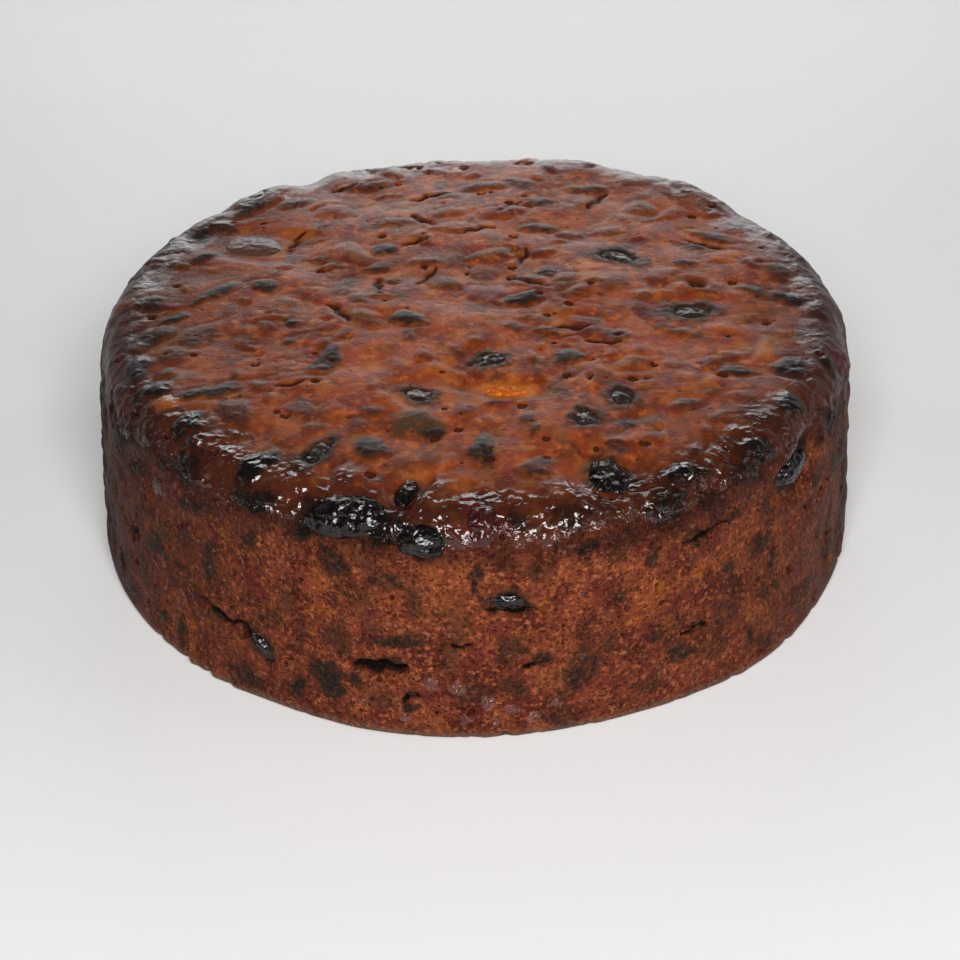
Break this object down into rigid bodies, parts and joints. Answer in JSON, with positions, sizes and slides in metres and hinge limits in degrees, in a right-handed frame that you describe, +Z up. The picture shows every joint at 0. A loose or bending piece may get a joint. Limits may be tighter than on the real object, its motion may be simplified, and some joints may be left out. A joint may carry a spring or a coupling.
{
  "type": "fruit cake",
  "caption": "Whole round baked fruit cake, dark and glossy on top, with raisins, cherries and candied peel breaking through its uneven skin.",
  "frame": {"origin": "centre of the cake's flat base", "axes": "+Z up out of the base through the top, -Y towards the front that faces the viewer, +X to the viewer's right"},
  "size_m": [0.2011, 0.2017, 0.065],
  "materials": {
    "baked_batter": "baked crumb, glossy skin on top, satin and pitted at the side",
    "dark_raisin": "wrinkled, satin to glossy",
    "glace_cherry": "sugary gloss",
    "pale_sultana": "smooth satin",
    "candied_peel": "sugary gloss"
  },
  "bodies": {
    "root": {"cake": "baked_batter", "cherry_rim_front": "glace_cherry", "cherry_side_left": "glace_cherry", "peel_top": "candied_peel", "raisin_back_rim": "dark_raisin", "raisin_back_side": "dark_raisin", "raisin_rim_far": "dark_raisin", "raisin_rim_left": "dark_raisin", "raisin_rim_mid": "dark_raisin", "raisin_rim_right": "dark_raisin", "raisin_rim_upright": "dark_raisin", "raisin_side_front": "dark_raisin", "raisin_side_low": "dark_raisin", "raisin_top_far": "dark_raisin", "raisin_top_left": "dark_raisin", "raisin_top_mid": "dark_raisin", "raisin_top_near": "dark_raisin", "raisin_top_plum": "dark_raisin", "raisin_top_right": "dark_raisin", "raisin_top_streak": "dark_raisin", "sultana_top_disc": "pale_sultana"}
  },
  "joints": []
}
